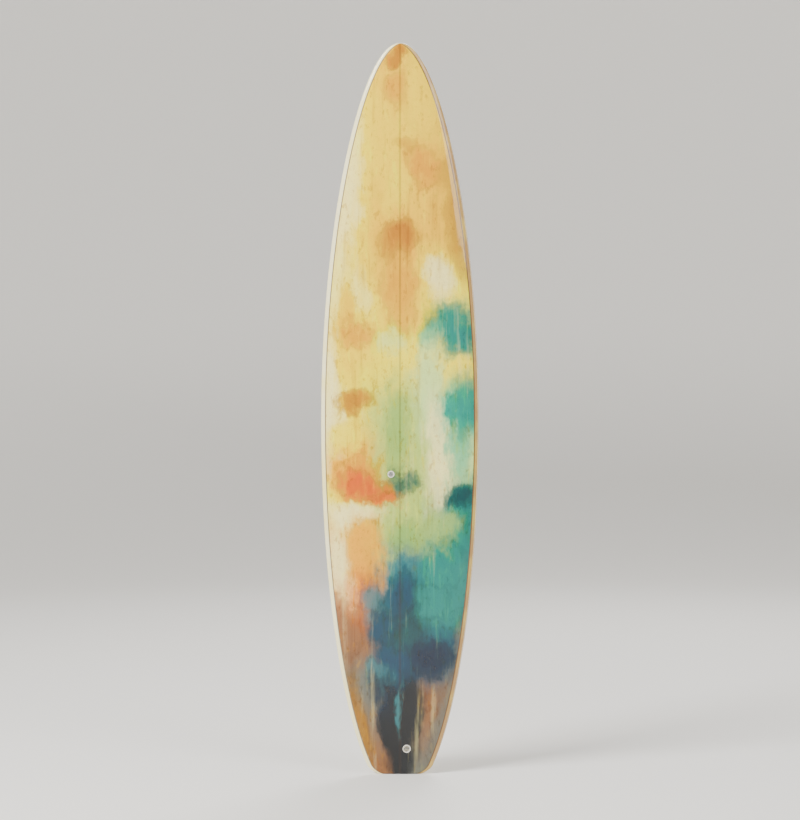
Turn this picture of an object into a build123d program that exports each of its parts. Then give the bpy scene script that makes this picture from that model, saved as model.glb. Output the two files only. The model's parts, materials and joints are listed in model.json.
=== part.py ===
"""Longboard surfboard, 9 ft, glassed foam with a wood stringer and a "two plus one" fin set.

Millimetres. +Z runs from the tail end to the nose, -Y is the deck side, +Y is the bottom side
with the fins, and +X is the right-hand rail seen from the deck. The origin is the centre of the
flat tail end, which the board stands on.
"""

from build123d import *
from math import asin, cos, pi, sin, sqrt
import os

# ---------------------------------------------------------------- driving dimensions
LENGTH = 2743.2  # nine feet
WIDTH = 597.0
THICKNESS = 83.0

WIDE_POINT = 0.485  # place of the widest point, as a share of the length from the tail
NOSE_FULLNESS = 0.17  # higher pulls the nose outline in sooner
TAIL_TAPER = 0.87  # share of the half ellipse used up at the tail end
TAIL_CORNER = 38.0  # plan radius of the squash tail's corners

THICK_POINT = 0.52  # place of the thickest point, as a share of the length from the tail
TAIL_THICKNESS, TAIL_FOIL_POWER = 18.0, 2.5
NOSE_THICKNESS, NOSE_FOIL_POWER = 14.0, 2.3
TAIL_EDGE = 6.0  # rounding of the deck and bottom edges at the tail end
NOSE_EDGE = 9.0  # length over which the nose rounds off in side view
NOSE_CUT = 0.5  # the curves would close this far past the tip, which is cut flat

FLAT_POINT = 0.45  # where the bottom is furthest from the deck side
TAIL_ROCKER, TAIL_ROCKER_POWER = 50.0, 2.3
NOSE_ROCKER, NOSE_ROCKER_POWER = 115.0, 2.6

RAIL_SHARE = 0.40  # share of the thickness that lies below the rail line
DECK_CROWN = 3.0  # superellipse power of the deck, lower is more domed
BOTTOM_CROWN = 6.0  # the bottom is flat, then rolls up at the rail

GLASS = 2.0  # fibreglass skin with its filler and gloss coats
NARROW = 20.0  # where the board is about this narrow, the skin thins out in plan
INLAY_COVER, INLAY = 0.6, 0.8  # depth of the printed cloth inside the skin, and its thickness
INLAY_MARGIN = 17.0  # from the rail line to the inlay's edge, across the board
INLAY_TAIL, INLAY_NOSE = 22.0, 45.0  # from the ends of the board to the inlay's ends
STRINGER = 6.0

# centre fin box: a slotted box that the fin slides along
BOX_Z = 288.0
BOX_LENGTH, BOX_WIDTH, BOX_DEPTH = 273.0, 25.4, 25.4
SLOT_LENGTH, SLOT_WIDTH, SLOT_DEPTH = 260.0, 9.6, 21.0
CHANNEL_WIDTH, CHANNEL_TOP, CHANNEL_HEIGHT = 15.2, 8.0, 3.4
BOX_CORNER, CHANNEL_CORNER = 7.0, 3.0
ENTRY_LENGTH, ENTRY_DEPTH = 18.0, 9.0  # wide way in for the cross pin, down into the channels

FIN_HEIGHT, FIN_BASE, FIN_SWEEP = 229.0, 172.0, 138.0
FIN_PLACE = -24.0  # middle of the blade's base; its front edge stays behind the screw
TONGUE_THICKNESS, TONGUE_DEPTH = 9.3, 19.5
TONGUE_BACK, TONGUE_FRONT = -75.0, 58.0
TAB_FRONT, TAB_TOP, TAB_BOTTOM = 84.0, 3.2, 7.6
TONGUE_CORNER = 2.0
TAB_OVERLAP = 6.0  # the tab runs this far into the tongue
ROOT_GAP = 0.4  # the blade's root stands this far off the board
ROOT_OVERLAP = 0.2  # the tongue runs this far into the blade

# fins: shape of the blades
BLADE_TAPER, BLADE_TIP, BLADE_CURVE = 0.15, 0.997, 1.6
FOIL_LEAN = 0.55  # brings the thickest point of the foil forward
FOIL_FULL = 1.12  # keeps the foil's thickness true when it leans
FLAT_SHARE = 0.25  # how much of the foil's roundness its flatter side keeps

# screw, plate and cross pin of the centre fin
SCREW_PLACE, PIN_PLACE = 72.0, -66.0
SCREW_RADIUS, SCREW_LENGTH = 2.0, 13.0
HEAD_RADIUS, HEAD_HEIGHT, HEAD_FILLET = 4.0, 2.4, 1.2
RECESS_LENGTH, RECESS_WIDTH, RECESS_DEPTH = 4.4, 0.9, 1.3
PLATE_LENGTH, PLATE_WIDTH, PLATE_HEIGHT = 14.0, 14.8, 3.0
PLATE_DROP, PLATE_CORNER = 0.2, 1.0
PIN_RADIUS, PIN_LENGTH = 1.55, 14.6

# side fin boxes
SIDE_BOX_Z, SIDE_BOX_RAIL = 402.0, 44.0  # along the board, and in from the rail
SIDE_TOE, SIDE_CANT = 2.5, 4.0
SIDE_BOX_LENGTH, SIDE_BOX_WIDTH, SIDE_BOX_DEPTH = 136.0, 16.0, 19.0
SIDE_SLOT_LENGTH, SIDE_SLOT_WIDTH, SIDE_SLOT_DEPTH = 108.0, 7.3, 13.4
SIDE_SLOT_CORNER = 2.2
SIDE_SLOT_PLACE = -7.0  # the slot sits back from the box's middle, to leave room for the screw
SIDE_FIN_HEIGHT, SIDE_FIN_BASE, SIDE_FIN_SWEEP = 112.0, 110.0, 62.0
SIDE_TONGUE = (107.2, 7.0, 12.8)  # length, thickness, depth
GRUB_RADIUS, GRUB_LENGTH, GRUB_TILT = 2.5, 9.0, 35.0
GRUB_PLACE = 56.0  # where the screw's axis meets the surface, along the box
GRUB_DROP, GRUB_CHAMFER = 2.2, 0.8
GRUB_HOLE_LOW, GRUB_HOLE_HIGH = -13.0, 4.0
SOCKET_RADIUS, SOCKET_DEPTH, SOCKET_SIDES = 1.5, 3.0, 6

# leash cup and vent, both in the deck
CUP_X, CUP_Z = 25.0, 96.0
CUP_RADIUS, CUP_BORE, CUP_DEPTH, CUP_FLOOR = 15.0, 12.0, 20.0, 3.0
CUP_FILLET = 4.0
BAR_RADIUS, BAR_DEPTH, BAR_LENGTH = 2.0, 6.5, 27.0
VENT_X, VENT_Z = -34.0, 1130.0
VENT_RADIUS, VENT_DEPTH = 13.0, 20.0
VENT_SEAT, THREAD_DEPTH = 4.6, 15.6
AIR_RADIUS, AIR_TOP = 1.5, -12.0
VENT_HEAD, VENT_HEAD_LOW, VENT_HEAD_HIGH, VENT_HEAD_FILLET = 9.0, -3.0, -0.4, 0.8
VENT_SHANK, VENT_SHANK_LOW = 5.0, -10.0
COIN_LENGTH, COIN_WIDTH, COIN_DEPTH = 13.0, 1.8, 1.2
SEAL_RADIUS, SEAL_WIRE, SEAL_DEPTH = 6.8, 0.78, 3.8

CLEAR = 0.1  # running clearance of the screws
HAIR = 0.1  # kept off a half width, where an end's two rounded corners would meet
BLOCK_PROUD = 6.0  # fittings start this far out of the board, and its surface trims them
HOLLOW_PROUD = 12.0  # their hollows are cut from further out
THROUGH = 60.0  # long enough to cut right through any fitting
OUT = "parts"
CURVE = LENGTH + NOSE_CUT


# ---------------------------------------------------------------- hull shape
def half_width(z):
    """Plan outline: an ellipse that is cut off at the tail, and a fuller curve to the nose."""
    t = z / CURVE
    if t >= WIDE_POINT:
        s = (t - WIDE_POINT) / (1 - WIDE_POINT)
        return WIDTH / 2 * sqrt(max(0.0, (1 - s * s) * (1 - NOSE_FULLNESS * s * s)))
    q = (WIDE_POINT - t) / WIDE_POINT
    w = WIDTH / 2 * sqrt(1 - TAIL_TAPER * q * q)
    if z < TAIL_CORNER:
        w -= TAIL_CORNER * (1 - sqrt(1 - (1 - z / TAIL_CORNER) ** 2))
    return w


def tail_roll(z, inset=0.0):
    """How far each face has rolled in at the rounded edge of the tail end."""
    if z >= TAIL_EDGE:
        return 0.0
    return (TAIL_EDGE - inset) * (1 - sqrt(1 - (1 - z / TAIL_EDGE) ** 2))


def nose_share(z):
    """Share of the thickness that is left where the nose rounds off."""
    if CURVE - z >= NOSE_EDGE:
        return 1.0
    return sqrt(max(0.0, 1 - (1 - (CURVE - z) / NOSE_EDGE) ** 2))


def foil(z, inset=0.0):
    """Thickness before the nose rounds off, less a skin of the given inset on both faces."""
    t = z / CURVE
    if t > THICK_POINT:
        s = (t - THICK_POINT) / (1 - THICK_POINT)
        full = THICKNESS - (THICKNESS - NOSE_THICKNESS) * s**NOSE_FOIL_POWER
    else:
        s = (THICK_POINT - t) / THICK_POINT
        full = THICKNESS - (THICKNESS - TAIL_THICKNESS) * s**TAIL_FOIL_POWER
    return full - 2 * inset - 2 * tail_roll(z, inset)


def thickness(z, inset=0.0):
    """Thickness of the board, less a skin of the given inset on both faces."""
    return foil(z, inset) * nose_share(z)


def bottom_y(z):
    """Bottom centre line before its ends round off, with the rocker of the nose and the tail."""
    t = z / CURVE
    flat = TAIL_ROCKER + TAIL_THICKNESS / 2
    if t > FLAT_POINT:
        rise = (t - FLAT_POINT) / (1 - FLAT_POINT)
        return flat - NOSE_ROCKER * rise**NOSE_ROCKER_POWER
    rise = (FLAT_POINT - t) / FLAT_POINT
    return flat - TAIL_ROCKER * rise**TAIL_ROCKER_POWER


def rail_y(z):
    """Height of the rail line, where the board is widest in cross-section."""
    return bottom_y(z) - tail_roll(z) - RAIL_SHARE * foil(z)


def face_y(x, z, side):
    """Surface of the board at a point in plan: side is +1 for the bottom and -1 for the deck."""
    share = RAIL_SHARE if side > 0 else 1 - RAIL_SHARE
    crown = BOTTOM_CROWN if side > 0 else DECK_CROWN
    fall = sqrt(max(0.0, 1 - abs(x / half_width(z)) ** crown))
    return rail_y(z) + side * share * thickness(z) * fall


def even_steps(count):
    """Evenly spread curve parameters, the same for every section so that the lofts stay simple."""
    return [k / count for k in range(count + 1)]


def section_point(angle, z, inset):
    """Point on the cross-section at height z, for a skin drawn in by the inset.

    The angle runs round the section: 0 is the middle of the deck, a quarter turn is the rail.
    """
    z0 = (z - inset) * LENGTH / (LENGTH - 2 * inset)
    w = half_width(z0)
    w -= inset * w / (w + NARROW)
    deep = thickness(z0, inset)
    rail = bottom_y(z) - inset - tail_roll(z0, inset) - RAIL_SHARE * foil(z0, inset)
    across = sin(angle)
    if cos(angle) >= 0:
        rise = -(1 - RAIL_SHARE) * deep * sqrt(max(0.0, 1 - abs(across) ** DECK_CROWN))
    else:
        rise = RAIL_SHARE * deep * sqrt(max(0.0, 1 - abs(across) ** BOTTOM_CROWN))
    return Vector(w * across, rail + rise, z)


def section_arc(z, inset, start, end, steps=10, tangents=None):
    """Part of the cross-section, from one angle to another."""
    angles = [start + (end - start) * k / steps for k in range(steps + 1)]
    points = [section_point(a, z, inset) for a in angles]
    return Edge.make_spline(points, tangents=tangents, parameters=even_steps(steps))


def quarter_arc(z, inset, quarter):
    """Quarter of the cross-section; 0 starts at the left rail and they run on over the deck."""
    start = (quarter - 1) * pi / 2
    ways = [Vector(0, -1, 0), Vector(1, 0, 0), Vector(0, 1, 0), Vector(-1, 0, 0), Vector(0, -1, 0)]
    return section_arc(z, inset, start, start + pi / 2, 10, ways[quarter : quarter + 2])


def hull_stations():
    """Stations from tail to nose, close together where the outline turns fast."""
    corner = [TAIL_CORNER * (1 - cos(k * pi / 12)) for k in range(7)]
    nose_zone = 40.0
    first, last, count = 60.0, LENGTH - nose_zone, 22
    body = []
    for k in range(count + 1):
        even = k / count
        eased = 0.5 - 0.5 * cos(pi * even)
        body.append(first + (last - first) * (0.6 * eased + 0.4 * even))
    nose = [LENGTH - nose_zone * (1 - sin(k * pi / 16)) for k in range(2, 8)]
    return corner + body + nose + [LENGTH]


def skin_stations(inset):
    """The stations moved in so that they run from end to end of the drawn-in shape."""
    shrink = (LENGTH - 2 * inset) / LENGTH
    return [inset + z * shrink for z in hull_stations()]


def hull(inset=0.0):
    """The whole board as one solid, drawn in by the inset."""
    wires = []
    for z in skin_stations(inset):
        wires.append(Wire([quarter_arc(z, inset, quarter) for quarter in range(4)]))
    return Solid.make_loft(wires)


def inlay():
    """Printed cloth inside the deck's skin, from just short of one rail to the other."""
    first, last = INLAY_TAIL, LENGTH - INLAY_NOSE
    between = [z for z in hull_stations() if first + 5 < z < last - 5]
    wires = []
    for z in [first] + between + [last]:
        reach = asin(1 - INLAY_MARGIN / half_width(z))
        top = section_arc(z, INLAY_COVER, -reach, reach, 24)
        under = section_arc(z, INLAY_COVER + INLAY, reach, -reach, 24)
        right_end = Edge.make_line(top @ 1, under @ 0)
        left_end = Edge.make_line(under @ 1, top @ 0)
        wires.append(Wire([top, right_end, under, left_end]))
    return Solid.make_loft(wires)


# ---------------------------------------------------------------- cutters
def solids_in(shape):
    """The result of a boolean as one solid, or a compound of its solids."""
    if isinstance(shape, (list, tuple)):
        found = [s for part in shape for s in part.solids()]
    else:
        found = shape.solids()
    return found[0] if len(found) == 1 else Compound(children=list(found))


def seat_plane(x, z, side, toe=0.0, cant=0.0):
    """Plane on the surface: local x towards the nose, local z out of the board.

    toe turns it about its normal and cant leans it about its own long axis, in degrees.
    """
    step = 1.0
    slope_x = (face_y(x + step, z, side) - face_y(x - step, z, side)) / (2 * step)
    slope_z = (face_y(x, z + step, side) - face_y(x, z - step, side)) / (2 * step)
    out = Vector(-slope_x, 1, -slope_z).normalized() * side
    along = Vector(0, slope_z, 1).normalized()
    along = (along - out * along.dot(out)).normalized()
    along = along.rotate(Axis((0, 0, 0), out), toe)
    out = out.rotate(Axis((0, 0, 0), along), cant)
    return Plane(origin=(x, face_y(x, z, side), z), x_dir=along, z_dir=out)


def rounded_block(length, width, low, high, radius):
    """Upright block with rounded corners in plan, from height low to height high."""
    face = RectangleRounded(length, width, radius)
    return Pos(0, 0, low) * extrude(face, high - low)


def upright(radius, low, high):
    """Cylinder along local z, from height low to height high."""
    return Pos(0, 0, (low + high) / 2) * Cylinder(radius, high - low)


def cross_bar(radius, length):
    """Cylinder along local y."""
    return Rot(90, 0, 0) * Cylinder(radius, length)


# ---------------------------------------------------------------- fins
def foil_point(angle, height, chord, middle, thick, squeeze):
    """Point on a fin's cross-section, and the way the curve runs there. Angle 0 is the leading edge."""
    deep = thick / 2 / FOIL_FULL * squeeze
    out = deep * sin(angle) * (1 + FOIL_LEAN * cos(angle))
    place = Vector(middle + chord / 2 * cos(angle), out, height)
    way = Vector(-chord / 2 * sin(angle), deep * (cos(angle) + FOIL_LEAN * cos(2 * angle)), 0)
    return place, way.normalized()


def foil_wire(height, chord, middle, thick, flat_side):
    """Fin cross-section: blunt leading edge, fine trailing edge, and one side flatter if asked."""
    steps = 5
    edges = []
    for quarter in range(4):
        side = 1 if quarter < 2 else -1
        squeeze = FLAT_SHARE if side == flat_side else 1.0
        angles = [(quarter + k / steps) * pi / 2 for k in range(steps + 1)]
        spots = [foil_point(a, height, chord, middle, thick, squeeze) for a in angles]
        ways = [spots[0][1], spots[-1][1]]
        points = [place for place, _ in spots]
        edges.append(Edge.make_spline(points, tangents=ways, parameters=even_steps(steps)))
    return Wire(edges)


def fin_blade(tall, base, sweep, thick, middle, flat_side=0):
    """Raked fin blade standing on the local x axis, leading edge towards +x."""
    shares = [0.0, 0.12, 0.26, 0.4, 0.54, 0.67, 0.78, 0.87, 0.935, 0.975, 1.0]
    wires = []
    for share in shares:
        taper = sqrt(1 - BLADE_TIP * share) * (1 - BLADE_TAPER * share)
        centre = middle - sweep * share**BLADE_CURVE
        height = ROOT_GAP + tall * share
        wires.append(foil_wire(height, base * taper, centre, thick * taper, flat_side))
    return Solid.make_loft(wires)


def center_fin():
    """Centre fin with its tongue, front tab and the holes for the screw and the cross pin."""
    tongue_length = TONGUE_FRONT - TONGUE_BACK
    tongue_top = ROOT_GAP + ROOT_OVERLAP
    tongue = rounded_block(
        tongue_length, TONGUE_THICKNESS, -TONGUE_DEPTH, tongue_top, TONGUE_CORNER
    )
    tongue = Pos((TONGUE_FRONT + TONGUE_BACK) / 2, 0, 0) * tongue
    tab_length = TAB_FRONT - TONGUE_FRONT + TAB_OVERLAP
    tab = rounded_block(tab_length, TONGUE_THICKNESS, -TAB_BOTTOM, -TAB_TOP, TONGUE_CORNER)
    tab = Pos(TAB_FRONT - tab_length / 2, 0, 0) * tab
    blade = fin_blade(FIN_HEIGHT, FIN_BASE, FIN_SWEEP, TONGUE_THICKNESS, FIN_PLACE)
    screw_hole = Pos(SCREW_PLACE, 0, 0) * Cylinder(SCREW_RADIUS + CLEAR, THROUGH)
    return blade + tongue + tab - screw_hole - pin_axis() * cross_bar(PIN_RADIUS, THROUGH)


def pin_axis():
    """Where the cross pin sits: in the middle of the channels' height."""
    return Pos(PIN_PLACE, 0, -CHANNEL_TOP - CHANNEL_HEIGHT / 2)


def fin_cross_pin():
    """Brass pin through the tongue that rides in the box's channels."""
    return pin_axis() * cross_bar(PIN_RADIUS, PIN_LENGTH)


def fin_plate():
    """Threaded plate that sits across the channels under the front tab."""
    top = -CHANNEL_TOP - PLATE_DROP
    plate = rounded_block(PLATE_LENGTH, PLATE_WIDTH, top - PLATE_HEIGHT, top, PLATE_CORNER)
    return Pos(SCREW_PLACE, 0, 0) * (plate - Cylinder(SCREW_RADIUS + CLEAR / 2, THROUGH))


def fin_screw():
    """Pan-head machine screw with a cross recess."""
    top = -TAB_TOP + HEAD_HEIGHT
    head = upright(HEAD_RADIUS, -TAB_TOP, top)
    head = fillet(head.edges().group_by(Axis.Z)[-1], HEAD_FILLET)
    shank = upright(SCREW_RADIUS, -TAB_TOP - SCREW_LENGTH, -TAB_TOP)
    recess = Box(RECESS_LENGTH, RECESS_WIDTH, 2 * RECESS_DEPTH)
    recess += Box(RECESS_WIDTH, RECESS_LENGTH, 2 * RECESS_DEPTH)
    return Pos(SCREW_PLACE, 0, 0) * (head + shank - Pos(0, 0, top) * recess)


def center_box_block():
    """Outer shape of the centre box, standing proud so that the board's surface can trim it."""
    return rounded_block(BOX_LENGTH, BOX_WIDTH, -BOX_DEPTH, BLOCK_PROUD, BOX_CORNER)


def center_box_hollow():
    """Slot, side channels and the wide entry in the middle of the centre box."""
    slot_corner = SLOT_WIDTH / 2 - HAIR
    slot = rounded_block(SLOT_LENGTH, SLOT_WIDTH, -SLOT_DEPTH, HOLLOW_PROUD, slot_corner)
    low = -CHANNEL_TOP - CHANNEL_HEIGHT
    channel = rounded_block(SLOT_LENGTH, CHANNEL_WIDTH, low, -CHANNEL_TOP, CHANNEL_CORNER)
    entry = rounded_block(
        ENTRY_LENGTH, CHANNEL_WIDTH, -ENTRY_DEPTH, HOLLOW_PROUD, CHANNEL_CORNER
    )
    return slot + channel + entry


def side_fin(flat_side):
    """Side fin with its tongue; flat_side is the local side that faces the stringer."""
    length, thick, deep = SIDE_TONGUE
    tongue = rounded_block(length, thick, -deep, ROOT_GAP + ROOT_OVERLAP, TONGUE_CORNER)
    blade = fin_blade(SIDE_FIN_HEIGHT, SIDE_FIN_BASE, SIDE_FIN_SWEEP, thick, 0.0, flat_side)
    return Pos(SIDE_SLOT_PLACE, 0, 0) * (blade + tongue)


def side_box_block():
    """Outer shape of a side box, standing proud for trimming."""
    corner = SIDE_BOX_WIDTH / 2 - HAIR
    return rounded_block(SIDE_BOX_LENGTH, SIDE_BOX_WIDTH, -SIDE_BOX_DEPTH, BLOCK_PROUD, corner)


def side_box_hollow():
    """Fin slot and the leaning screw hole at the front end of a side box."""
    slot = rounded_block(
        SIDE_SLOT_LENGTH, SIDE_SLOT_WIDTH, -SIDE_SLOT_DEPTH, HOLLOW_PROUD, SIDE_SLOT_CORNER
    )
    hole = grub_axis() * upright(GRUB_RADIUS + CLEAR, GRUB_HOLE_LOW, GRUB_HOLE_HIGH)
    return Pos(SIDE_SLOT_PLACE, 0, 0) * slot + hole


def grub_axis():
    """Where the locking screw sits: out of the surface, leaning forward."""
    return Pos(GRUB_PLACE, 0, 0) * Rot(0, GRUB_TILT, 0)


def grub_screw():
    """Locking screw with a hex socket, its tip just short of the fin's tongue."""
    body = upright(GRUB_RADIUS, -GRUB_DROP - GRUB_LENGTH, -GRUB_DROP)
    body = chamfer(body.edges().group_by(Axis.Z)[0], GRUB_CHAMFER)
    hexagon = extrude(RegularPolygon(SOCKET_RADIUS, SOCKET_SIDES), SOCKET_DEPTH)
    return grub_axis() * (body - Pos(0, 0, -GRUB_DROP - SOCKET_DEPTH) * hexagon)


# ---------------------------------------------------------------- leash cup and vent
def leash_cup_block():
    """Outer shape of the leash cup, standing proud for trimming."""
    return upright(CUP_RADIUS, -CUP_DEPTH, BLOCK_PROUD)


def leash_cup_hollow():
    """Round pocket with a soft floor, and the holes that hold the bar."""
    pocket = upright(CUP_BORE, -CUP_DEPTH + CUP_FLOOR, HOLLOW_PROUD)
    pocket = fillet(pocket.edges().group_by(Axis.Z)[0], CUP_FILLET)
    return pocket + leash_bar()


def leash_bar():
    """Stainless bar across the cup, which the leash string ties round."""
    return Pos(0, 0, -BAR_DEPTH) * cross_bar(BAR_RADIUS, BAR_LENGTH)


def vent_block():
    """Outer shape of the vent housing, standing proud for trimming."""
    return upright(VENT_RADIUS, -VENT_DEPTH, BLOCK_PROUD)


def vent_hollow():
    """Seat for the screw head and seal, the screw's hole and the air hole to the foam."""
    seat = upright(VENT_HEAD + 3 * CLEAR, -VENT_SEAT, HOLLOW_PROUD)
    thread = upright(VENT_SHANK + CLEAR, -THREAD_DEPTH, -VENT_SEAT + 1)
    air = upright(AIR_RADIUS, -VENT_DEPTH - 1, AIR_TOP)
    return seat + thread + air


def vent_screw():
    """Vent screw with a coin slot."""
    head = upright(VENT_HEAD, VENT_HEAD_LOW, VENT_HEAD_HIGH)
    head = fillet(head.edges().group_by(Axis.Z)[-1], VENT_HEAD_FILLET)
    shank = upright(VENT_SHANK, VENT_SHANK_LOW, VENT_HEAD_LOW)
    slot = Pos(0, 0, VENT_HEAD_HIGH) * Box(COIN_LENGTH, COIN_WIDTH, 2 * COIN_DEPTH)
    return head + shank - slot


def vent_seal():
    """Rubber ring between the screw head and its seat."""
    return Pos(0, 0, -SEAL_DEPTH) * Torus(SEAL_RADIUS, SEAL_WIRE)


# ---------------------------------------------------------------- assembly
def main():
    os.makedirs(OUT, exist_ok=True)
    outer, core = hull(), hull(GLASS)
    cloth = inlay()

    center_seat = seat_plane(0, BOX_Z, +1)
    side_x = half_width(SIDE_BOX_Z) - SIDE_BOX_RAIL
    # toe and cant turn the front of each side fin inwards and its tip outwards
    side_seats = {
        "left": seat_plane(-side_x, SIDE_BOX_Z, +1, SIDE_TOE, SIDE_CANT),
        "right": seat_plane(side_x, SIDE_BOX_Z, +1, -SIDE_TOE, -SIDE_CANT),
    }
    cup_seat = seat_plane(CUP_X, CUP_Z, -1)
    vent_seat = seat_plane(VENT_X, VENT_Z, -1)

    blocks = [
        center_seat.location * center_box_block(),
        cup_seat.location * leash_cup_block(),
        vent_seat.location * vent_block(),
    ] + [seat.location * side_box_block() for seat in side_seats.values()]

    def less_blocks(shape):
        for block in blocks:
            shape = solids_in(shape - block)
        return shape

    slab = Pos(0, 0, LENGTH / 2) * Box(STRINGER, 2 * WIDTH, 2 * LENGTH)
    halves = sorted((core - slab).solids(), key=lambda half: half.center().X)

    parts = {
        "foam_left": less_blocks(halves[0]),
        "foam_right": less_blocks(halves[-1]),
        "stringer": less_blocks(solids_in(core & slab)),
        "deck_inlay": less_blocks(cloth),
        "glass_skin": less_blocks(outer - core - cloth),
        "center_fin_box": (blocks[0] & outer) - center_seat.location * center_box_hollow(),
        "center_fin": center_seat.location * center_fin(),
        "fin_cross_pin": center_seat.location * fin_cross_pin(),
        "fin_plate": center_seat.location * fin_plate(),
        "fin_screw": center_seat.location * fin_screw(),
        "leash_cup": (blocks[1] & outer) - cup_seat.location * leash_cup_hollow(),
        "leash_bar": cup_seat.location * leash_bar(),
        "vent_housing": (blocks[2] & outer) - vent_seat.location * vent_hollow(),
        "vent_screw": vent_seat.location * vent_screw(),
        "vent_seal": vent_seat.location * vent_seal(),
    }
    for block, (name, seat) in zip(blocks[3:], side_seats.items()):
        # local +y points away from the stringer on the left and towards it on the right
        flat_side = 1 if name == "right" else -1
        parts[f"side_box_{name}"] = (block & outer) - seat.location * side_box_hollow()
        parts[f"side_fin_{name}"] = seat.location * side_fin(flat_side)
        parts[f"side_screw_{name}"] = seat.location * grub_screw()

    for name, shape in parts.items():
        export_step(solids_in(shape), f"{OUT}/{name}.step")


main()
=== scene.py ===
"""Looks for the longboard: a glossy glassed board with a watercolour deck, standing on its tail.

Metres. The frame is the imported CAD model: +Z to the nose, -Y out of the deck, +X to the right rail.
"""

import json
from math import asin, cos, pi, sin, sqrt

import bmesh
import bpy
import numpy as np
from mathutils import Matrix, Vector

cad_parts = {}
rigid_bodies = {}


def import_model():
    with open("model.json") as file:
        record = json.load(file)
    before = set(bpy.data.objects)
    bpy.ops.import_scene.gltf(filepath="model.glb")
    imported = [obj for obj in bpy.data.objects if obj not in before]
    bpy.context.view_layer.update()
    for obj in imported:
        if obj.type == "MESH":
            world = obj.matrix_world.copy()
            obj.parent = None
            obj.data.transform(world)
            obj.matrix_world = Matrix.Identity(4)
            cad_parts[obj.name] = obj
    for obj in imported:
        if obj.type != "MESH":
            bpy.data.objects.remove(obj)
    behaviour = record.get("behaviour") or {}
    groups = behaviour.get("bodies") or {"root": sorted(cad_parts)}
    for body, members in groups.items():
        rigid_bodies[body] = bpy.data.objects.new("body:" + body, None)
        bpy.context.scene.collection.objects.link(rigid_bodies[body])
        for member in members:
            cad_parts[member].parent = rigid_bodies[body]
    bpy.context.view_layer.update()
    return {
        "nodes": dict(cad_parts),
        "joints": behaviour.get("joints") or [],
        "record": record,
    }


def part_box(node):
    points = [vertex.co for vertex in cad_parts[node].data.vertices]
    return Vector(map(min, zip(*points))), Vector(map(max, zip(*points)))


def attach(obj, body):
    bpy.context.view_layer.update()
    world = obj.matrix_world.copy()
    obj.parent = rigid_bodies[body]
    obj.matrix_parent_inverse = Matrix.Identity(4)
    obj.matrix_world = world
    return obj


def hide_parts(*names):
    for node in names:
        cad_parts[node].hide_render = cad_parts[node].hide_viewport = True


for default_object in list(bpy.data.objects):
    bpy.data.objects.remove(default_object)
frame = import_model()

# ---------------------------------------------------------------- the board's form
SKIN_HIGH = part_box("glass_skin")[1]
LENGTH = SKIN_HIGH.z
HALF_WIDTH = SKIN_HIGH.x

WIDE_POINT, NOSE_FULLNESS = 0.485, 0.17
TAIL_TAPER, TAIL_CORNER = 0.87, 0.038
THICKNESS, THICK_POINT = 0.083, 0.52
TAIL_THICKNESS, TAIL_FOIL_POWER = 0.018, 2.5
NOSE_THICKNESS, NOSE_FOIL_POWER = 0.014, 2.3
TAIL_EDGE, NOSE_EDGE, NOSE_CUT = 0.006, 0.009, 0.0005
FLAT_POINT = 0.45
TAIL_ROCKER, TAIL_ROCKER_POWER = 0.050, 2.3
NOSE_ROCKER, NOSE_ROCKER_POWER = 0.115, 2.6
RAIL_SHARE, DECK_CROWN, BOTTOM_CROWN = 0.40, 3.0, 6.0
CURVE = LENGTH + NOSE_CUT  # where the curves of the nose would close
SKIN = 0.002
NARROW = 0.02  # where the board is about this narrow, the skin thins out in plan

# rings along the board, rings in each rounded end, and points in a quarter of a ring
OUTER_RINGS, OUTER_END_RINGS, OUTER_QUARTER = 330, 10, 30
INNER_RINGS, INNER_END_RINGS, INNER_QUARTER = 110, 6, 12
NOSE_ZONE = 0.04  # length of the nose whose rings draw closer together
EASED_SHARE = 0.6  # how much the rings between the ends crowd towards them


def half_width(z):
    """Plan outline at height z."""
    t = z / CURVE
    if t >= WIDE_POINT:
        s = (t - WIDE_POINT) / (1 - WIDE_POINT)
        return HALF_WIDTH * sqrt(max(0.0, (1 - s * s) * (1 - NOSE_FULLNESS * s * s)))
    q = (WIDE_POINT - t) / WIDE_POINT
    w = HALF_WIDTH * sqrt(1 - TAIL_TAPER * q * q)
    if z < TAIL_CORNER:
        w -= TAIL_CORNER * (1 - sqrt(max(0.0, 1 - (1 - z / TAIL_CORNER) ** 2)))
    return w


def tail_roll(z, inset=0.0):
    """How far each face has rolled in at the rounded edge of the tail end."""
    if z >= TAIL_EDGE:
        return 0.0
    return (TAIL_EDGE - inset) * (1 - sqrt(max(0.0, 1 - (1 - z / TAIL_EDGE) ** 2)))


def nose_share(z):
    """Share of the thickness that is left where the nose rounds off."""
    if CURVE - z >= NOSE_EDGE:
        return 1.0
    return sqrt(max(0.0, 1 - (1 - (CURVE - z) / NOSE_EDGE) ** 2))


def foil(z, inset=0.0):
    """Thickness before the nose rounds off, less a skin of the given inset on both faces."""
    t = z / CURVE
    if t > THICK_POINT:
        s = (t - THICK_POINT) / (1 - THICK_POINT)
        full = THICKNESS - (THICKNESS - NOSE_THICKNESS) * s**NOSE_FOIL_POWER
    else:
        s = (THICK_POINT - t) / THICK_POINT
        full = THICKNESS - (THICKNESS - TAIL_THICKNESS) * s**TAIL_FOIL_POWER
    return full - 2 * inset - 2 * tail_roll(z, inset)


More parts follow.
